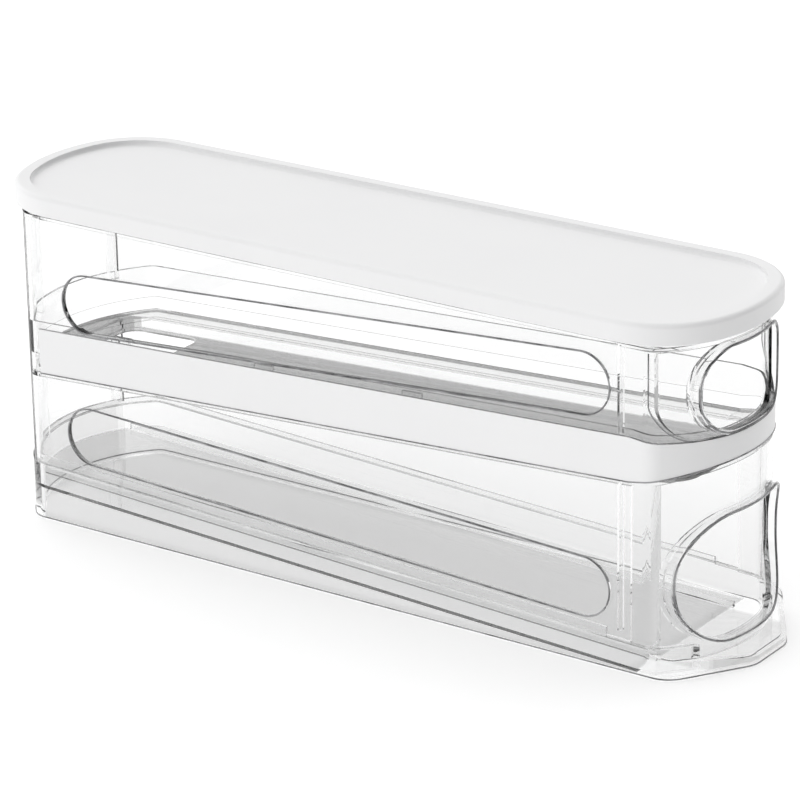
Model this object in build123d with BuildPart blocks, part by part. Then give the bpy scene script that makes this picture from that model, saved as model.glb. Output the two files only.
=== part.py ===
from build123d import *
from math import atan, atan2, cos, degrees, radians, sin, sqrt
import os

os.makedirs("parts", exist_ok=True)

# Rolling egg dispenser: two stacked single lanes in clear plastic, with a white lid and a white middle band.
# Millimetres, +Z up, +X towards the front where the eggs come out, -Y is the side with the long slots.

# Lid
lid_length = 400.0
lid_width = 106.6
lid_height = 166.8
bow_radius = 78.6
corner_radius = 41.0
lid_skirt = 9.8
lid_skirt_wall = 2.8
lid_rim_width = 7.4
lid_recess = 2.6
lid_plate = 2.4
lid_recess_fillet = 1.6
lid_edge_fillet = 2.4
lid_clearance = 0.7

# Clear walls of the two housings
wall = 2.4
fit_gap = 0.35
shell_bow_radius = 66.4
shell_corner_radius = 10.0
neck_drop = 11.6
shoulder = 2.0
neck_set_in = 0.5
side_slot_set_back = 43.6
front_bend = 33.5

# White middle band, whose upper and lower edges climb towards the front
band_proud = 0.6
band_wall = 2.0
band_top_z = 105.5
band_top_slope = 0.0438
band_bottom_z = 83.9
band_bottom_slope = 0.048
band_front_top_z = 109.2
band_front_bottom_z = 97.6
band_rear_set_in = 28.5
band_far_y = 36.0
band_ledge_width = 5.2
band_ledge_height = 1.4

# Upper housing
tongue_wall = 2.0
tongue_lap = 3.0
tongue_lift = 9.0
upper_slot_over_band = 4.0
upper_slot_under_neck = 16.3
upper_slot_slope = 0.0633
hole_half_width = 32.2
hole_over_band = 2.4
hole_under_neck = 4.6
hole_radius = 17.5
hole_lip_wall = 1.8
hole_lip_out = 1.2
hole_lip_in = 2.0
corner_share = 0.48
panel_set_in = 2.2
panel_radius = 19.0
panel_depth = 1.1

# Lane channels: the egg lies across, so the channel is wider than the egg is thick
lane_half_width = 32.0
lane_wall = 2.0
lane_corner = 12.0
lane_end_set_back = 15.5
lane_deck = 1.6
lane_floor = 1.8
upper_lane_depth = 5.3
drop_length = 45.0
drop_half_width = 30.0
drop_corner = 8.0
latch_width = 10.6
latch_depth = 1.6
latch_rise = 1.2
latch_x = (-121.0, -37.0, 46.0)

# Lower housing
flange_height = 2.7
flange_width = 5.0
lower_slot_z = 42.45
lower_slot_slope = -0.0433
lower_slot_width = 28.7
scoop_set_in = 6.2
scoop_bottom_z = 13.2
scoop_top_z = 72.6
scoop_radius = 27.5
scoop_lip_wall = 1.7
scoop_lip_out = 2.6
scoop_lip_in = 0.5
post_set_in = 2.2
post_width = 3.0
post_depth = 2.6
side_rib_set_back = 39.5
side_rib_width = 1.8
side_rib_depth = 3.0
back_rib_y = 28.5
back_rib_width = 2.0
back_rib_depth = 5.0
front_wall_foot_z = 6.4

# Base tray
tray_rim_z = 21.3
tray_rim_slope = -0.0428
tray_wall = 2.2
tray_floor_z = 9.2
rail_height = 3.0
rail_set_back = 28.5
passage_set_back = 46.5
tray_overhang = 7.0
nose_length = 87.0
nose_taper_length = 24.0
nose_tip_half_width = 14.0
nose_radius = 14.0
nose_floor_height = 2.2
nose_floor_length = 41.0
nose_rim_z = 4.8
locating_rib_height = 3.6
locating_rib_wall = 1.3
locating_rib_clearance = 0.4

# Derived values
tray_reach = lid_length / 2 + tray_overhang
plan_plane = Plane(origin=(-(tray_reach - lid_length / 2) / 2, 0, 0))
side_plane = Plane(origin=plan_plane.origin, x_dir=(1, 0, 0), z_dir=(0, -1, 0))
front_plane = Plane(origin=plan_plane.origin, x_dir=(0, 1, 0), z_dir=(1, 0, 0))
body_inset = lid_skirt_wall + lid_clearance
body_half_length = lid_length / 2 - body_inset
body_half_width = lid_width / 2 - body_inset
housing_top_z = lid_height - lid_recess - lid_plate
neck_z = lid_height - neck_drop
shoulder_z = neck_z - shoulder
bend_x = body_half_length - front_bend
side_slot_x = body_half_length - side_slot_set_back
side_rib_x = body_half_length - side_rib_set_back
band_rear_x = band_rear_set_in - body_half_length
band_outer = body_inset - band_proud
band_inner = band_outer + band_wall
tongue_outer = band_inner + fit_gap
tongue_inner = tongue_outer + tongue_wall
deck_outer = tongue_inner + fit_gap
far = lid_length
upper_slot_low = band_top_z + upper_slot_over_band
upper_slot_width = neck_z - upper_slot_under_neck - upper_slot_low
upper_slot_z = upper_slot_low + upper_slot_width / 2
hole_bottom_z = band_front_top_z + hole_over_band
hole_top_z = neck_z - hole_under_neck
panel_half_width = body_half_width - panel_set_in
panel_bottom_z = hole_bottom_z - hole_lip_wall
scoop_half_width = body_half_width - scoop_set_in
post_outer_y = body_half_width - post_set_in
post_inner_y = post_outer_y - post_width
rib_foot_gap = locating_rib_height + locating_rib_clearance
rib_outer = body_inset + wall + fit_gap
rib_inner = rib_outer + locating_rib_wall
foot_half_width = lane_half_width - fit_gap
lane_end_x = body_half_length - lane_end_set_back
drop_rear_x = 2 * lane_wall - lane_end_x
drop_front_x = drop_rear_x + drop_length
rail_front_x = body_half_length - rail_set_back
passage_rear_x = body_half_length - passage_set_back
nose_root_x = tray_reach - nose_length
nose_shoulder_x = tray_reach - nose_taper_length
nose_floor_start_x = tray_reach - nose_floor_length
lane_front_x = tray_reach - 2 * tray_wall
upper_deck = band_ledge_height + lane_deck
upper_floor = upper_deck - upper_lane_depth


def outline(inset):
    """Plan outline of the lid, set in on all sides: straight sides, bowed ends and round corners between."""
    half = lid_length / 2 - inset
    side = lid_width / 2 - inset
    bow = bow_radius - inset
    corner = corner_radius - inset
    bow_x = half - bow
    corner_y = side - corner
    corner_x = bow_x + sqrt((bow - corner) ** 2 - corner_y**2)
    turn = atan2(corner_y, corner_x - bow_x)
    middle = (radians(90) + turn) / 2
    meet = (bow_x + bow * cos(turn), bow * sin(turn))
    arc = (corner_x + corner * cos(middle), corner_y + corner * sin(middle))
    with BuildSketch() as plan:
        with BuildLine():
            Line((corner_x, side), (0, side))
            Line((corner_x, -side), (0, -side))
            ThreePointArc((corner_x, side), arc, meet)
            ThreePointArc((corner_x, -side), (arc[0], -arc[1]), (meet[0], -meet[1]))
            ThreePointArc(meet, (half, 0), (meet[0], -meet[1]))
            mirror(about=Plane.YZ)
        make_face()
    return plan.sketch


def shell(inset):
    """Plan outline of the clear body, set in from the lid's edge: straight sides, bowed ends and tight corners."""
    side = lid_width / 2 - inset
    bow = shell_bow_radius + body_inset - inset
    bow_x = body_half_length - shell_bow_radius
    corner_x = bow_x + sqrt(bow**2 - side**2)
    with BuildSketch() as plan:
        with BuildLine():
            Line((-corner_x, side), (corner_x, side))
            Line((-corner_x, -side), (corner_x, -side))
            ThreePointArc((corner_x, side), (bow_x + bow, 0), (corner_x, -side))
            ThreePointArc((-corner_x, side), (-bow_x - bow, 0), (-corner_x, -side))
        make_face()
        fillet(plan.vertices(), shell_corner_radius + body_inset - inset)
    return plan.sketch


def profile(*points):
    """Closed side profile from points given as distance along the lid and height."""
    with BuildSketch() as side:
        with BuildLine():
            Polyline(*points, close=True)
        make_face()
    return side.sketch


def below_line(slope, height, shift=0.0):
    """Side profile of all below an inclined line, shifted up."""
    ends = [(x, height + slope * x + shift) for x in (-far, far)]
    return profile((-far, -far), *ends, (far, -far))


def below_band_edge(slope, height, front_height, shift=0.0):
    """Side profile of all below one edge of the band, which changes height across the bowed front, shifted up."""
    back = (-far, height - slope * far + shift)
    bend = (bend_x, height + slope * bend_x + shift)
    return profile(
        (-far, -far), back, bend, (body_half_length, front_height + shift), (far, front_height + shift), (far, -far)
    )


def below_band_top(shift=0.0):
    """Side profile of all below the band's upper edge, shifted up."""
    return below_band_edge(band_top_slope, band_top_z, band_front_top_z, shift)


def below_band_bottom(shift=0.0):
    """Side profile of all below the band's lower edge, shifted up."""
    return below_band_edge(band_bottom_slope, band_bottom_z, band_front_bottom_z, shift)


def below_tray_rim(shift=0.0):
    """Side profile of all below the inclined rim of the tray, shifted up."""
    return below_line(tray_rim_slope, tray_rim_z, shift)


def slot_face(height, slope, width):
    """Inclined slot with round ends, seen from the side."""
    with BuildSketch() as side:
        with Locations((0, height)):
            SlotOverall(2 * side_slot_x / cos(atan(slope)), width, rotation=degrees(atan(slope)))
    return side.sketch


def lane_plan(half_width, front_x, rear_x, radius):
    """Plan of a lane channel with round corners between two distances along the lid."""
    with BuildSketch() as plan:
        with Locations(((front_x + rear_x) / 2, 0)):
            RectangleRounded(front_x - rear_x, 2 * half_width, radius)
    return plan.sketch


def round_opening(half_width, low, high, radius, grow):
    """Opening with round corners seen from the front, grown on all sides. Its corners fit in its height."""
    corner = min(radius, corner_share * (high - low))
    with BuildSketch() as face:
        with Locations((0, (high + low) / 2)):
            RectangleRounded(2 * (half_width + grow), high - low + 2 * grow, corner + grow)
    return face.sketch


def hole_face(grow=0.0):
    """Front view of the loading hole, grown on all sides."""
    return round_opening(hole_half_width, hole_bottom_z, hole_top_z, hole_radius, grow)


def scoop_face(grow=0.0):
    """Front view of the scoop opening, grown on all sides."""
    return round_opening(scoop_half_width, scoop_bottom_z, scoop_top_z, scoop_radius, grow)


def front_block(half_width, low, radius=0.0):
    """Upright block seen from the front, open at the top, with round lower corners where a radius is given."""
    with BuildSketch() as face:
        with Locations((0, low + lid_height / 2)):
            if radius > 0:
                RectangleRounded(2 * half_width, lid_height, radius)
            else:
                Rectangle(2 * half_width, lid_height)
    return face.sketch


def nose_plan():
    """Plan of the tray: the body outline with a nose that tapers to a blunt tip at the front."""
    half = body_half_width + band_proud
    with BuildSketch() as plan:
        with BuildLine():
            Polyline(
                (nose_root_x, -half),
                (nose_shoulder_x, -half),
                (tray_reach, -nose_tip_half_width),
                (tray_reach, nose_tip_half_width),
                (nose_shoulder_x, half),
                (nose_root_x, half),
                close=True,
            )
        make_face()
        fillet(plan.vertices().filter_by(lambda corner: corner.X > nose_root_x + nose_radius), nose_radius)
        add(shell(band_outer))
    return plan.sketch


def column(plan, hollow=None, height=lid_height):
    """Upright solid over a plan, hollow inside a second plan, standing on the ground."""
    with BuildPart() as solid:
        with BuildSketch(plan_plane):
            add(plan)
            if hollow is not None:
                add(hollow, mode=Mode.SUBTRACT)
        extrude(amount=height)
    return solid.part


def block_plan(x_low, x_high, y_low, y_high):
    """Plan rectangle between two distances along the lid and two across it."""
    with BuildSketch() as plan:
        with Locations(((x_low + x_high) / 2, (y_low + y_high) / 2)):
            Rectangle(x_high - x_low, y_high - y_low)
    return plan.sketch


def wall_rib(plan, depth, height=lid_height):
    """Upright rib on the inside of the housing wall, over the part of a plan block next to the wall."""
    return column(body_inner_plan, shell(body_inset + wall + depth), height) & column(plan, None, height)


def guide_ribs(height):
    """Rib behind the near side wall, and the pair on the back wall that guides the dropping egg."""
    low = side_rib_x - side_rib_width / 2
    ribs = wall_rib(block_plan(low, low + side_rib_width, -lid_width, 0), side_rib_depth, height)
    for side in (-back_rib_y, back_rib_y):
        plan = block_plan(-lid_length, 0, side - back_rib_width / 2, side + back_rib_width / 2)
        ribs = ribs + wall_rib(plan, back_rib_depth, height)
    return ribs


def across(face):
    """Bar that runs through the whole width with a side profile as its section."""
    return extrude(side_plane * face, lid_width, both=True, mode=Mode.PRIVATE)


def near_side(face):
    """Bar from the middle out through the near side wall with a side profile as its section."""
    return extrude(side_plane * face, lid_width, mode=Mode.PRIVATE)


def forward(face):
    """Bar from the middle out through the front wall with a front view as its section."""
    return extrude(front_plane * face, far, mode=Mode.PRIVATE)


# Plans and profiles used by more than one piece
body_plan = shell(body_inset)
body_inner_plan = shell(body_inset + wall)
below_flange_top = across(below_band_bottom())
below_rim = across(below_tray_rim())
above_shoulder = across(profile((-far, shoulder_z), (-far, lid_height), (far, lid_height), (far, shoulder_z)))
tray_plan = nose_plan()

# Lid: a shallow cap with a raised rim round its recessed top
with BuildPart() as lid:
    with BuildSketch(plan_plane.offset(lid_height - lid_skirt)):
        add(outline(0))
    extrude(amount=lid_skirt)
    fillet(lid.faces().sort_by(Axis.Z)[-1].edges(), lid_edge_fillet)
    with BuildSketch(plan_plane.offset(lid_height - lid_skirt)):
        add(outline(lid_skirt_wall))
    extrude(amount=lid_skirt - lid_recess - lid_plate, mode=Mode.SUBTRACT)
    with BuildSketch(plan_plane.offset(lid_height)):
        add(outline(lid_rim_width))
    extrude(amount=-lid_recess, mode=Mode.SUBTRACT)
    recess_floor = lid.faces().filter_by(Axis.Z).group_by(Axis.Z)[-2].sort_by(SortBy.AREA)[-1]
    fillet(recess_floor.edges(), lid_recess_fillet)
lid.part.label = "lid"
export_step(lid.part, "parts/lid.step")

# Middle band: white, between inclined edges, along the near side and round the front, with a ledge for the ramp
with BuildPart() as middle_band:
    add(column(shell(band_outer), shell(band_inner)))
    ledge = column(shell(band_inner), shell(band_inner + band_ledge_width))
    add(ledge & across(below_band_bottom(band_ledge_height)))
    add(column(block_plan(band_rear_x, lid_length, -lid_width, band_far_y)), mode=Mode.INTERSECT)
    add(across(below_band_top()), mode=Mode.INTERSECT)
    add(below_flange_top, mode=Mode.SUBTRACT)
middle_band.part.label = "middle_band"
export_step(middle_band.part, "parts/middle_band.step")

# Upper housing: clear bowed shell that plugs into the band with a stepped-in tongue
with BuildPart() as upper_housing:
    add(column(body_plan, body_inner_plan, neck_z))
    add(guide_ribs(neck_z))
    # Neck that the lid covers, on a narrow shoulder
    neck_inner = outline(body_inset + neck_set_in + wall)
    add(column(outline(body_inset + neck_set_in), neck_inner, housing_top_z) & above_shoulder)
    add(column(body_plan, neck_inner, neck_z) & above_shoulder)
    add(across(below_band_top()), mode=Mode.SUBTRACT)
    # The plain rear and far walls run down where there is no band
    low_wall = column(body_plan, body_inner_plan) & across(below_band_top(tongue_lap))
    low_wall = low_wall - column(block_plan(band_rear_x - fit_gap, lid_length, -lid_width, band_far_y + fit_gap))
    add(low_wall - below_flange_top)
    tongue = column(shell(tongue_outer), shell(tongue_inner))
    tongue = tongue & across(below_band_top(tongue_lap))
    add(tongue - across(below_band_bottom(tongue_lift)))
    # Rounded panel pressed into the front, with the loading hole and its lip
    skin = column(body_plan, shell(body_inset + panel_depth), neck_z - shoulder)
    add(skin & forward(front_block(panel_half_width, panel_bottom_z, panel_radius)), mode=Mode.SUBTRACT)
    lip_zone = column(shell(body_inset - hole_lip_out), shell(body_inset + wall + hole_lip_in))
    add(lip_zone & forward(hole_face(hole_lip_wall)))
    add(forward(hole_face()), mode=Mode.SUBTRACT)
    # Long slot in the side wall
    add(near_side(slot_face(upper_slot_z, upper_slot_slope, upper_slot_width)), mode=Mode.SUBTRACT)
upper_housing.part.label = "upper_housing"
export_step(upper_housing.part, "parts/upper_housing.step")

# Upper ramp: a deck on the band's ledge with a sunk lane that runs down to the drop opening at the back
with BuildPart() as upper_ramp:
    deck = column(shell(deck_outer)) & across(below_band_bottom(upper_deck))
    add(deck - across(below_band_bottom(band_ledge_height)))
    lane_outer = column(lane_plan(lane_half_width + lane_wall, lane_end_x, -lane_end_x, lane_corner + lane_wall))
    lane_inner = column(lane_plan(lane_half_width, lane_end_x - lane_wall, lane_wall - lane_end_x, lane_corner))
    trough = lane_outer & across(below_band_bottom(upper_deck))
    add(trough - across(below_line(band_bottom_slope, band_bottom_z, upper_floor - lane_floor)))
    add(lane_inner - across(below_line(band_bottom_slope, band_bottom_z, upper_floor)), mode=Mode.SUBTRACT)
    drop = lane_plan(drop_half_width, drop_front_x, drop_rear_x, drop_corner)
    add(column(drop), mode=Mode.SUBTRACT)
    latches = column(shell(deck_outer), shell(deck_outer + latch_depth)) & across(below_band_top(latch_rise))
    for x in latch_x:
        plan = block_plan(x - latch_width / 2, x + latch_width / 2, -lid_width, 0)
        add((latches & column(plan)) - across(below_band_bottom(upper_deck)))
upper_ramp.part.label = "upper_ramp"
export_step(upper_ramp.part, "parts/upper_ramp.step")

# Lower housing: clear bowed shell with a flange under the band, corner posts and the scoop opening
with BuildPart() as lower_housing:
    add(column(body_plan, body_inner_plan))
    add(column(body_plan, shell(body_inset + flange_width)) - across(below_band_bottom(-flange_height)))
    for low, high in ((-post_outer_y, -post_inner_y), (post_inner_y, post_outer_y)):
        add(wall_rib(block_plan(bend_x, lid_length, low, high), post_depth))
    add(guide_ribs(lid_height) - across(below_tray_rim(rib_foot_gap)))
    add(below_flange_top, mode=Mode.INTERSECT)
    add(below_rim - forward(front_block(foot_half_width, front_wall_foot_z)), mode=Mode.SUBTRACT)
    # Scoop opening with its flared lip
    scoop_zone = column(shell(body_inset - scoop_lip_out), shell(body_inset + wall + scoop_lip_in))
    add(scoop_zone & forward(scoop_face(scoop_lip_wall)))
    add(forward(scoop_face()), mode=Mode.SUBTRACT)
    # Long slot in the side wall
    add(near_side(slot_face(lower_slot_z, lower_slot_slope, lower_slot_width)), mode=Mode.SUBTRACT)
lower_housing.part.label = "lower_housing"
export_step(lower_housing.part, "parts/lower_housing.step")

# Base tray: inclined skirt and lane deck with low rails, and a low nose that stops the egg
with BuildPart() as base_tray:
    add(column(shell(band_outer), shell(rib_inner)) & below_rim)
    rib = column(shell(rib_outer), shell(rib_inner)) & across(below_tray_rim(locating_rib_height))
    add((rib & column(block_plan(-lid_length, passage_rear_x, -lid_width, lid_width))) - below_rim)
    lane_deck_top = across(below_line(tray_rim_slope, tray_floor_z))
    deck = column(shell(band_outer + band_proud)) & lane_deck_top
    add(deck - across(below_line(tray_rim_slope, tray_floor_z, -lane_deck)))
    for low, high in (
        (-lane_half_width - lane_wall, -lane_half_width),
        (lane_half_width, lane_half_width + lane_wall),
    ):
        rail = column(block_plan(-lane_end_x, rail_front_x, low, high))
        add((rail & across(below_line(tray_rim_slope, tray_floor_z, rail_height))) - lane_deck_top)
    lane_space = column(lane_plan(lane_half_width, lane_front_x, passage_rear_x, lane_corner))
    add(lane_space - lane_deck_top, mode=Mode.SUBTRACT)
    nose_rim = profile(
        (nose_root_x, -far),
        (nose_root_x, tray_rim_z + tray_rim_slope * nose_root_x),
        (bend_x, tray_rim_z + tray_rim_slope * bend_x),
        (tray_reach, nose_rim_z),
        (tray_reach, -far),
    )
    add(column(tray_plan, offset(tray_plan, -tray_wall, mode=Mode.PRIVATE)) & across(nose_rim))
    nose_floor = column(tray_plan, height=nose_floor_height)
    add(nose_floor & across(profile((nose_floor_start_x, 0), (far, 0), (far, far), (nose_floor_start_x, far))))
    add(across(profile((-far, -far), (-far, 0), (far, 0), (far, -far))), mode=Mode.SUBTRACT)
base_tray.part.label = "base_tray"
export_step(base_tray.part, "parts/base_tray.step")
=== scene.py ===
import math

import bpy
from mathutils import Matrix, Vector


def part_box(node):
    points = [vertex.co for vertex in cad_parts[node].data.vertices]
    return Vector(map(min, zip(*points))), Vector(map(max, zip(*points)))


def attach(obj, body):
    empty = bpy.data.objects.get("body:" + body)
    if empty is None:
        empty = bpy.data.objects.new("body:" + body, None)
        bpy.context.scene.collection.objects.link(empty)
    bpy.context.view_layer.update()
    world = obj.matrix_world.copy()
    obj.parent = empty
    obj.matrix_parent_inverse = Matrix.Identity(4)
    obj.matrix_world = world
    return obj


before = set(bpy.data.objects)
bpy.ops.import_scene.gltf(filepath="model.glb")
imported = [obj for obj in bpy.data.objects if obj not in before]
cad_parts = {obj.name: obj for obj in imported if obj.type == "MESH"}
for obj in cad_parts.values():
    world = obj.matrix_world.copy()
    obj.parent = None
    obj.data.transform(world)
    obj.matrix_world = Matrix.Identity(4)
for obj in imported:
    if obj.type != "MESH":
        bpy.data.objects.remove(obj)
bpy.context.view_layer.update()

# Sizes below are in millimetres, with X measured from the lid's centre
MM_PER_M = 1000

# Shape of the clear body in plan: straight sides, one bow at each end, round corners
BODY_HALF_LENGTH = 196.5
BODY_HALF_WIDTH = 49.8
PROUD_HALF_WIDTH = 50.4
BOW_RADIUS = 66.4
CORNER_RADIUS = 10.0

# Slots in the near wall
SLOT_HALF_LENGTH = 152.9
UPPER_SLOT = {"height": 124.2, "slope": 0.0633, "width": 29.4}
LOWER_SLOT = {"height": 42.45, "slope": -0.0433, "width": 28.7}

# Openings and panel in the bowed front
SCOOP = {"half_width": 44.4, "low": 12.4, "high": 73.4, "radius": 28.3, "proud": 2.6}
HOLE = {"half_width": 33.1, "low": 110.7, "high": 151.5, "radius": 18.4, "proud": 1.2}
PANEL = {"half_width": 49.5, "low": 109.8, "high": 153.0, "radius": 19.0}

# Foot of the tray and its tapered nose
TRAY_FOOT_HEIGHT = 0.9
NOSE_TAPER_X = 183.0
NOSE_TIP_X = 207.0
NOSE_HALF_WIDTH = 14.0
NOSE_ROUNDING = 14.0

# Lower edge of the white band: it climbs to a bend, then faster round the bow
BAND_REAR_X = -168.0
BAND_SIDE_X = 60.0
BAND_BEND_X = 163.0
BAND_FAR_Y = 36.0
BAND_FOOT_HEIGHT = 83.9
BAND_SLOPE = 0.048
BAND_FRONT_HEIGHT = 97.6

# Radii of the beads
FOOT_BEAD = 0.35
SLOT_BEAD = 0.42
SCOOP_BEAD = 0.5
HOLE_BEAD = 0.45

# How finely the beads are cut: round the bead, in a slot's round end, in a corner
# of an opening and between two of its points, in a corner of the nose, across the bow
BEAD_SIDES = 10
SLOT_STEPS = 24
CORNER_STEPS = 16
STEPS_PER_PIECE = 4
NOSE_STEPS = 8
SWEEP_STEPS = 48

# Plastics
PLASTIC_IOR = 1.49
PLASTIC_DENSITY = 15.0
PLASTIC_ABSORPTION = (0.03, 0.03, 0.03, 1)
RIM_ALPHA = 0.75
# Painted shade and reflection: the lane floors of the ramp and the tray are greyed
LANE_HALF_WIDTH = 32.0
LANE_SHADE_INSET = 0.6
RAMP_LANE_PAINTED_SHADE = 0.45
TRAY_LANE_PAINTED_SHADE = 0.8
FIRST_SEED = 0.4
SEED_STEP = 1.7

# Floor, in metres: it glows evenly like a light table, and more in a painted pool of light
# below the tray, where each axis has the middle and the half length of the brighter area
FLOOR_HALF = 6
FLOOR_GLOW = 0.55
PAINTED_POOL_GLOW = 0.16
PAINTED_POOL_AREA = (("X", -0.016, 0.176), ("Y", 0.0, 0.045))
GLOW_FADE_IN = 0.006
GLOW_FADE_OUT = 0.003

# Sky: each shade has its aim, where it starts and is full (as cosines), and its amount
SKY_STRENGTH = 1.34
FRONT_SHADE = ((1.0, -0.15, 0.12), 0.2, 0.85, 0.95)
REAR_SHADE = ((-0.55, 0.85, 0.1), 0.8, 0.97, 0.45)
LEFT_SHADE = ((-1.0, -0.45, 0.08), 0.8, 0.96, 0.7)
EDGE_SHADE = ((0.54, -0.76, 0.0), -0.75, -0.1, 0.85)

# Key light, in metres and watts
KEY_PLACE = (-1.2, -1.4, 1.6)
KEY_AIM = (0, 0, 0.08)
KEY_SIZE = (1.4, 1.4)
KEY_POWER = 3

# The clear walls lie many deep along one line of sight
LIGHT_BOUNCES = 64

# Camera, from the fit to the lid, the skirt and the base line of the photograph.
# The fit took the lid to be 380 long, so its lengths are scaled to metres.
LID_LENGTH = 400.0
FIT_LID_LENGTH = 380.0
FIT_SCALE = LID_LENGTH / FIT_LID_LENGTH / MM_PER_M
AZIMUTH, ELEVATION, ROLL = math.radians(35.141), math.radians(21.062), math.radians(-1.0412)
DISTANCE = 1918.74 * FIT_SCALE
TARGET_HEIGHT = 70 * FIT_SCALE
SHIFT_RIGHT, SHIFT_UP = 5.0798, 5.6334
FOCAL_PX = 4325.63
PHOTO_PX = 800
SENSOR_WIDTH = 36.0
CLIP_RANGE = (0.01, 50)

lid_low, lid_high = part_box("lid")
CENTRE_X = (lid_low[0] + lid_high[0]) / 2


# Steps that several materials share
def new_material(name):
    material = bpy.data.materials.new(name)
    material.use_nodes = True
    tree = material.node_tree
    return material, tree, tree.nodes["Principled BSDF"]


def noise(tree, scale, detail, seed):
    """Noise over the object's own coordinates, moved by a seed."""
    coords = tree.nodes.new("ShaderNodeTexCoord")
    shift = tree.nodes.new("ShaderNodeMapping")
    shift.inputs["Location"].default_value = (seed, seed * 0.7, seed * 0.3)
    texture = tree.nodes.new("ShaderNodeTexNoise")
    texture.inputs["Scale"].default_value = scale
    texture.inputs["Detail"].default_value = detail
    tree.links.new(coords.outputs["Object"], shift.inputs["Vector"])
    tree.links.new(shift.outputs["Vector"], texture.inputs["Vector"])
    return texture.outputs["Fac"]


def tones(tree, value, first, last, start=0.0, end=1.0):
    """Colour that runs from one to another as a value goes from a start to an end."""
    node = tree.nodes.new("ShaderNodeValToRGB")
    low, high = node.color_ramp.elements
    low.position, low.color = start, (*first, 1)
    high.position, high.color = end, (*last, 1)
    tree.links.new(value, node.inputs["Fac"])
    return node.outputs["Color"]


def ranged(tree, value, low, high):
    """Maps a zero to one value to a range."""
    node = tree.nodes.new("ShaderNodeMapRange")
    node.inputs["To Min"].default_value = low
    node.inputs["To Max"].default_value = high
    tree.links.new(value, node.inputs["Value"])
    return node.outputs["Result"]


def faded(tree, value, start, end, rest):
    """Falls smoothly from one to a rest as a value goes from a start to an end."""
    node = tree.nodes.new("ShaderNodeMapRange")
    node.interpolation_type = "SMOOTHSTEP"
    node.inputs["From Min"].default_value = start
    node.inputs["From Max"].default_value = end
    node.inputs["To Min"].default_value = 1.0
    node.inputs["To Max"].default_value = rest
    tree.links.new(value, node.inputs["Value"])
    return node.outputs["Result"]


def reckoned(tree, operation, *values):
    """One step of arithmetic on sockets and plain numbers."""
    node = tree.nodes.new("ShaderNodeMath")
    node.operation = operation
    for socket, value in zip(node.inputs, values):
        if isinstance(value, (int, float)):
            socket.default_value = value
        else:
            tree.links.new(value, socket)
    return node.outputs["Value"]


def own_axes(tree):
    """Places on the object along its own X, Y and Z."""
    coords = tree.nodes.new("ShaderNodeTexCoord")
    split = tree.nodes.new("ShaderNodeSeparateXYZ")
    tree.links.new(coords.outputs["Object"], split.inputs["Vector"])
    return split.outputs


def bumped(tree, shader, value, strength, distance):
    """Adds a fine bump from a height value."""
    node = tree.nodes.new("ShaderNodeBump")
    node.inputs["Strength"].default_value = strength
    node.inputs["Distance"].default_value = distance
    tree.links.new(value, node.inputs["Height"])
    tree.links.new(node.outputs["Normal"], shader.inputs["Normal"])


# Materials of the part
def white_plastic():
    """Satin white moulding with a faint texture."""
    material, tree, shader = new_material("white_moulding")
    tone = tones(tree, noise(tree, 18, 4, 1.3), (0.83, 0.83, 0.835), (0.86, 0.86, 0.862))
    gloss = ranged(tree, noise(tree, 60, 3, 4.1), 0.36, 0.46)
    tree.links.new(tone, shader.inputs["Base Color"])
    tree.links.new(gloss, shader.inputs["Roughness"])
    shader.inputs["IOR"].default_value = PLASTIC_IOR
    bumped(tree, shader, noise(tree, 1400, 2, 2.2), 0.08, 0.0001)
    return material


def clear_plastic(name, seed, lane_painted_shade):
    """Clear polished moulding with faint flow marks, and painted shade and reflection greying the
    lane floor.
    """
    material, tree, shader = new_material(name)
    tone = tones(tree, noise(tree, 9, 3, seed), (0.985, 0.987, 0.988), (0.994, 0.995, 0.995))
    if lane_painted_shade is not None:
        # Painted shade and reflection: the lane floor is greyed inside the lane's edges
        lane_edge = (LANE_HALF_WIDTH - LANE_SHADE_INSET) / MM_PER_M
        across = reckoned(tree, "ABSOLUTE", own_axes(tree)["Y"])
        mix = tree.nodes.new("ShaderNodeMix")
        mix.data_type = "RGBA"
        # Sockets 6 and 7 and output 2 are those of a mix of colours
        tree.links.new(reckoned(tree, "LESS_THAN", across, lane_edge), mix.inputs["Factor"])
        tree.links.new(tone, mix.inputs[6])
        mix.inputs[7].default_value = (lane_painted_shade, lane_painted_shade, lane_painted_shade, 1)
        tone = mix.outputs[2]
    gloss = ranged(tree, noise(tree, 30, 3, seed + 2), 0.002, 0.014)
    tree.links.new(tone, shader.inputs["Base Color"])
    tree.links.new(gloss, shader.inputs["Roughness"])
    shader.inputs["Transmission Weight"].default_value = 1.0
    shader.inputs["IOR"].default_value = PLASTIC_IOR
    bumped(tree, shader, noise(tree, 14, 2, seed + 5), 0.012, 0.0004)
    # Light that runs along inside the walls comes out grey, so cut edges are darker than faces
    inside = tree.nodes.new("ShaderNodeVolumeAbsorption")
    inside.inputs["Color"].default_value = PLASTIC_ABSORPTION
    inside.inputs["Density"].default_value = PLASTIC_DENSITY
    tree.links.new(inside.outputs["Volume"], tree.nodes["Material Output"].inputs["Volume"])
    return material


def rim_painted_shade():
    """Bead on an edge of the moulding, dark to pale along its length: painted edge shade and
    highlight.
    """
    material, tree, shader = new_material("painted_edge_shade")
    shade_breaks = noise(tree, 90, 3, 7.7)
    tone = tones(tree, shade_breaks, (0.10, 0.10, 0.105), (0.42, 0.42, 0.43), 0.35, 0.65)
    gloss = ranged(tree, noise(tree, 60, 2, 3.1), 0.08, 0.2)
    tree.links.new(tone, shader.inputs["Base Color"])
    tree.links.new(gloss, shader.inputs["Roughness"])
    shader.inputs["IOR"].default_value = PLASTIC_IOR
    shader.inputs["Alpha"].default_value = RIM_ALPHA
    bumped(tree, shader, noise(tree, 300, 2, 5.2), 0.05, 0.0001)
    return material


def dress(name, material):
    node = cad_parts[name]
    node.data.materials.clear()
    node.data.materials.append(material)


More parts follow.
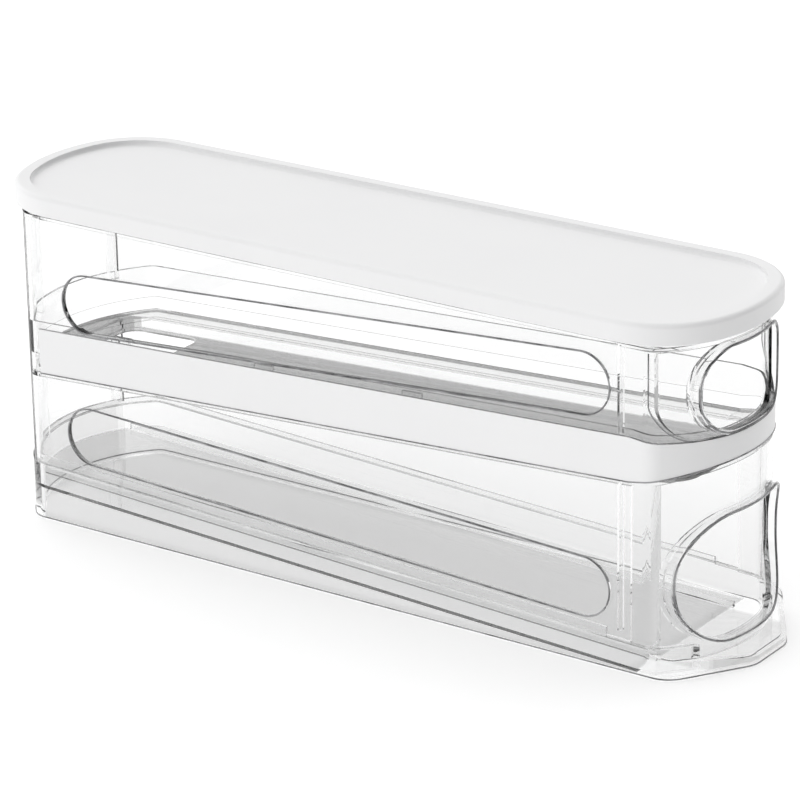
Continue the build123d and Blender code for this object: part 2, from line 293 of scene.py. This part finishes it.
white = white_plastic()
dress("lid", white)
dress("middle_band", white)
CLEAR_NODES = (
    ("upper_housing", None),
    ("upper_ramp", RAMP_LANE_PAINTED_SHADE),
    ("lower_housing", None),
    ("base_tray", TRAY_LANE_PAINTED_SHADE),
)
for i, (name, lane_painted_shade) in enumerate(CLEAR_NODES):
    dress(name, clear_plastic("clear_" + name, SEED_STEP * i + FIRST_SEED, lane_painted_shade))


# Lines that the beads follow
def arc(centre, radius, start, end, steps):
    """Points on an arc in a plane, from one angle to another in degrees."""
    turns = (math.radians(start + (end - start) * i / steps) for i in range(steps + 1))
    return [(centre[0] + radius * math.cos(a), centre[1] + radius * math.sin(a)) for a in turns]


def slot_line(height, slope, width):
    """Outline of an inclined slot on the near wall."""
    tilt = math.atan(slope)
    half = SLOT_HALF_LENGTH / math.cos(tilt) - width / 2
    flat = arc((half, 0), width / 2, -90, 90, SLOT_STEPS)
    flat += arc((-half, 0), width / 2, 90, 270, SLOT_STEPS)
    points = []
    for u, v in flat:
        x = u * math.cos(tilt) - v * math.sin(tilt)
        z = u * math.sin(tilt) + v * math.cos(tilt)
        points.append((x, -BODY_HALF_WIDTH, height + z))
    return points


def front_x(y, proud):
    """Distance of the bowed front from the lid's centre, at a distance across it."""
    bow = BOW_RADIUS + proud
    tight = CORNER_RADIUS + proud
    corner_y = BODY_HALF_WIDTH - CORNER_RADIUS
    bow_x = BODY_HALF_LENGTH - BOW_RADIUS
    if abs(y) <= corner_y * bow / (BOW_RADIUS - CORNER_RADIUS):
        return bow_x + math.sqrt(bow**2 - y**2)
    reach = math.sqrt((BOW_RADIUS - CORNER_RADIUS) ** 2 - corner_y**2)
    return bow_x + reach + math.sqrt(max(tight**2 - (abs(y) - corner_y) ** 2, 0.0))


def ring_line(half_width, low, high, radius, proud):
    """Outline of a rounded opening on the bowed front."""
    y, top, foot = half_width - radius, high - radius, low + radius
    flat = arc((y, top), radius, 0, 90, CORNER_STEPS)
    flat += arc((-y, top), radius, 90, 180, CORNER_STEPS)
    flat += arc((-y, foot), radius, 180, 270, CORNER_STEPS)
    flat += arc((y, foot), radius, 270, 360, CORNER_STEPS)
    points = []
    for i, (across, z) in enumerate(flat):
        following = flat[(i + 1) % len(flat)]
        for step in range(STEPS_PER_PIECE):
            share = step / STEPS_PER_PIECE
            place = across + (following[0] - across) * share
            points.append((front_x(place, proud), place, z + (following[1] - z) * share))
    return points


def panel_line(half_width, low, high, radius):
    """Sides and foot of the panel pressed into the bowed front, from its top round to its top."""
    y, foot = half_width - radius, low + radius
    flat = [(-half_width, high)] + arc((-y, foot), radius, 180, 270, CORNER_STEPS)
    flat += [(-y + 2 * y * i / CORNER_STEPS, low) for i in range(1, CORNER_STEPS)]
    flat += arc((y, foot), radius, 270, 360, CORNER_STEPS) + [(half_width, high)]
    return [(front_x(across, 0.0), across, z) for across, z in flat]


def rounded(corners, radius):
    """Points along a line of corners, each rounded with one radius, but not its two ends."""
    points = [corners[0]]
    for last, corner, following in zip(corners, corners[1:], corners[2:]):
        here = Vector(corner)
        back_way = (Vector(last) - here).normalized()
        on_way = (Vector(following) - here).normalized()
        half_turn = back_way.angle(on_way) / 2
        start = here + back_way * radius / math.tan(half_turn)
        end = here + on_way * radius / math.tan(half_turn)
        centre = here + (back_way + on_way).normalized() * radius / math.sin(half_turn)
        for step in range(NOSE_STEPS + 1):
            spoke = (start.lerp(end, step / NOSE_STEPS) - centre).normalized() * radius
            points.append(tuple(centre + spoke))
    return points + [corners[-1]]


def end_sweep(first, last):
    """Distances across the body from one side to the other, close together at the corners."""
    turns = (-90 + 180 * i / SWEEP_STEPS for i in range(SWEEP_STEPS + 1))
    whole = (PROUD_HALF_WIDTH * math.sin(math.radians(a)) for a in turns)
    return [y for y in whole if first <= y <= last]


def foot_line():
    """Foot of the tray: straight sides, the tapered nose in front and the bow behind."""
    y, proud = PROUD_HALF_WIDTH, PROUD_HALF_WIDTH - BODY_HALF_WIDTH
    side_end = front_x(y, proud)
    near = [(-side_end, -y), (NOSE_TAPER_X, -y), (NOSE_TIP_X, -NOSE_HALF_WIDTH)]
    far = [(x, -across) for x, across in reversed(near)]
    nose = rounded(near + far, NOSE_ROUNDING)
    rear = [(-front_x(across, proud), across) for across in reversed(end_sweep(-y, y))]
    return [(x, across, TRAY_FOOT_HEIGHT) for x, across in nose + rear[1:-1]]


def band_foot_line():
    """Lower edge of the band, along the near side and round the front."""
    y, proud = PROUD_HALF_WIDTH, PROUD_HALF_WIDTH - BODY_HALF_WIDTH
    plan = [(x, -y) for x in (BAND_REAR_X, -BAND_SIDE_X, BAND_SIDE_X, BAND_BEND_X)]
    plan += [(front_x(across, proud), across) for across in end_sweep(-y, BAND_FAR_Y)]
    bend_z = BAND_FOOT_HEIGHT + BAND_SLOPE * BAND_BEND_X
    points = []
    for x, across in plan:
        climb = (x - BAND_BEND_X) / (BODY_HALF_LENGTH - BAND_BEND_X)
        side_z = BAND_FOOT_HEIGHT + BAND_SLOPE * x
        front_z = bend_z + (BAND_FRONT_HEIGHT - bend_z) * climb
        points.append((x, across, side_z if x <= BAND_BEND_X else front_z))
    return points


# Rims: thin beads round the openings, along the edges of the clear walls, painted dark grey
# with paler stretches: painted shade and highlight of the refracting polished edges
rim = rim_painted_shade()


def bead(name, points, radius, body, closed=True):
    """Round bead along a line of points, on the body that carries it."""
    line = [Vector((CENTRE_X + x / MM_PER_M, y / MM_PER_M, z / MM_PER_M)) for x, y, z in points]
    verts, faces = [], []
    count = len(line)
    for i, point in enumerate(line):
        before_it = line[i - 1] if closed or i > 0 else line[0]
        after_it = line[(i + 1) % count] if closed or i < count - 1 else line[-1]
        along = (after_it - before_it).normalized()
        upright = Vector((0, 0, 1)) if abs(along.z) < 0.9 else Vector((1, 0, 0))
        out = along.cross(upright).normalized()
        lift = out.cross(along).normalized()
        for k in range(BEAD_SIDES):
            turn = 2 * math.pi * k / BEAD_SIDES
            spoke = out * math.cos(turn) + lift * math.sin(turn)
            verts.append(point + spoke * radius / MM_PER_M)
    for i in range(count if closed else count - 1):
        here, there = i * BEAD_SIDES, (i + 1) % count * BEAD_SIDES
        for k in range(BEAD_SIDES):
            m = (k + 1) % BEAD_SIDES
            faces.append((here + k, here + m, there + m, there + k))
    if not closed:
        faces.append(tuple(range(BEAD_SIDES)))
        faces.append(tuple((count - 1) * BEAD_SIDES + k for k in reversed(range(BEAD_SIDES))))
    mesh = bpy.data.meshes.new(name)
    mesh.from_pydata(verts, [], faces)
    for face in mesh.polygons:
        face.use_smooth = True
    mesh.materials.append(rim)
    thing = bpy.data.objects.new(name, mesh)
    bpy.context.scene.collection.objects.link(thing)
    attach(thing, body)


bead("tray_foot_rim", foot_line(), FOOT_BEAD, "tray")
bead("band_foot_rim", band_foot_line(), FOOT_BEAD, "upper_tier", closed=False)
bead("upper_slot_rim", slot_line(**UPPER_SLOT), SLOT_BEAD, "upper_tier")
bead("lower_slot_rim", slot_line(**LOWER_SLOT), SLOT_BEAD, "lower_tier")
bead("scoop_rim", ring_line(**SCOOP), SCOOP_BEAD, "lower_tier")
bead("hole_rim", ring_line(**HOLE), HOLE_BEAD, "upper_tier")
bead("panel_rim", panel_line(**PANEL), FOOT_BEAD, "upper_tier", closed=False)


# Floor
def floor_material():
    material, tree, shader = new_material("pale_floor")
    tone = tones(tree, noise(tree, 3, 2, 0.5), (0.59, 0.59, 0.59), (0.60, 0.60, 0.60))
    tree.links.new(tone, shader.inputs["Base Color"])
    shader.inputs["Roughness"].default_value = 0.7
    shader.inputs["Emission Color"].default_value = (1, 1, 1, 1)
    places = own_axes(tree)
    masks = []
    # Painted pool of light: the floor glows more in an area below the tray
    for axis, middle, half in PAINTED_POOL_AREA:
        away = reckoned(tree, "ABSOLUTE", reckoned(tree, "SUBTRACT", places[axis], middle))
        masks.append(faded(tree, away, half - GLOW_FADE_IN, half + GLOW_FADE_OUT, 0.0))
    both = reckoned(tree, "MULTIPLY", *masks)
    glow = ranged(tree, both, FLOOR_GLOW, FLOOR_GLOW + PAINTED_POOL_GLOW)
    tree.links.new(glow, shader.inputs["Emission Strength"])
    return material


floor_mesh = bpy.data.meshes.new("floor")
corners = [(x * FLOOR_HALF, y * FLOOR_HALF, 0) for x, y in ((-1, -1), (1, -1), (1, 1), (-1, 1))]
floor_mesh.from_pydata(corners, [], [(0, 1, 2, 3)])
floor_mesh.materials.append(floor_material())
floor = bpy.data.objects.new("floor", floor_mesh)
bpy.context.scene.collection.objects.link(floor)

# Studio: a white dome of sky, shaded towards some sides
world = bpy.data.worlds.new("studio")
bpy.context.scene.world = world
world.use_nodes = True
world_tree = world.node_tree
sky = world_tree.nodes["Background"]
sky.inputs["Color"].default_value = (1, 1, 1, 1)
direction = world_tree.nodes.new("ShaderNodeTexCoord")


def shade_towards(aim, start, end, amount):
    """One minus an amount that grows as a direction nears an aim."""
    facing = world_tree.nodes.new("ShaderNodeVectorMath")
    facing.operation = "DOT_PRODUCT"
    facing.inputs[1].default_value = Vector(aim).normalized()
    world_tree.links.new(direction.outputs["Generated"], facing.inputs[0])
    return faded(world_tree, facing.outputs["Value"], start, end, 1.0 - amount)


def product(first, second):
    return reckoned(world_tree, "MULTIPLY", first, second)


sky_light = product(shade_towards(*FRONT_SHADE), shade_towards(*REAR_SHADE))
sky_light = product(sky_light, shade_towards(*LEFT_SHADE))
# Seen through or in the clear plastic, the sky is bright only behind the object,
# which draws its edges dark
ray = world_tree.nodes.new("ShaderNodeLightPath").outputs
choice = world_tree.nodes.new("ShaderNodeMix")
choice.inputs["A"].default_value = 1.0
by_plastic = reckoned(world_tree, "MAXIMUM", ray["Is Transmission Ray"], ray["Is Glossy Ray"])
world_tree.links.new(by_plastic, choice.inputs["Factor"])
world_tree.links.new(shade_towards(*EDGE_SHADE), choice.inputs["B"])
sky_light = product(sky_light, choice.outputs["Result"])
world_tree.links.new(product(sky_light, SKY_STRENGTH), sky.inputs["Strength"])

key_data = bpy.data.lights.new("key", "AREA")
key_data.shape = "RECTANGLE"
key_data.size, key_data.size_y = KEY_SIZE
key_data.energy = KEY_POWER
key = bpy.data.objects.new("key", key_data)
key.location = KEY_PLACE
key.rotation_euler = (Vector(KEY_AIM) - Vector(KEY_PLACE)).to_track_quat("-Z", "Y").to_euler()
bpy.context.scene.collection.objects.link(key)

paths = bpy.context.scene.cycles
paths.max_bounces = LIGHT_BOUNCES
paths.glossy_bounces = LIGHT_BOUNCES
paths.transmission_bounces = LIGHT_BOUNCES
paths.transparent_max_bounces = LIGHT_BOUNCES

# Camera
back = Vector(
    (
        math.sin(AZIMUTH) * math.cos(ELEVATION),
        -math.cos(AZIMUTH) * math.cos(ELEVATION),
        math.sin(ELEVATION),
    )
)
right = Vector((math.cos(AZIMUTH), math.sin(AZIMUTH), 0))
up = back.cross(right)
middle = Vector((CENTRE_X, 0, TARGET_HEIGHT))
target = middle + right * SHIFT_RIGHT * FIT_SCALE + up * SHIFT_UP * FIT_SCALE
place = [target[i] + back[i] * DISTANCE for i in range(3)]
right_rolled = right * math.cos(ROLL) + up * math.sin(ROLL)
up_rolled = up * math.cos(ROLL) - right * math.sin(ROLL)
camera_data = bpy.data.cameras.new("camera")
camera_data.sensor_width = SENSOR_WIDTH
camera_data.lens = FOCAL_PX / PHOTO_PX * SENSOR_WIDTH
camera_data.clip_start, camera_data.clip_end = CLIP_RANGE
camera = bpy.data.objects.new("camera", camera_data)
rows = [(right_rolled[i], up_rolled[i], back[i], place[i]) for i in range(3)]
camera.matrix_world = Matrix((*rows, (0, 0, 0, 1)))
bpy.context.scene.collection.objects.link(camera)
bpy.context.scene.camera = camera
bpy.context.scene.view_settings.view_transform = "Standard"
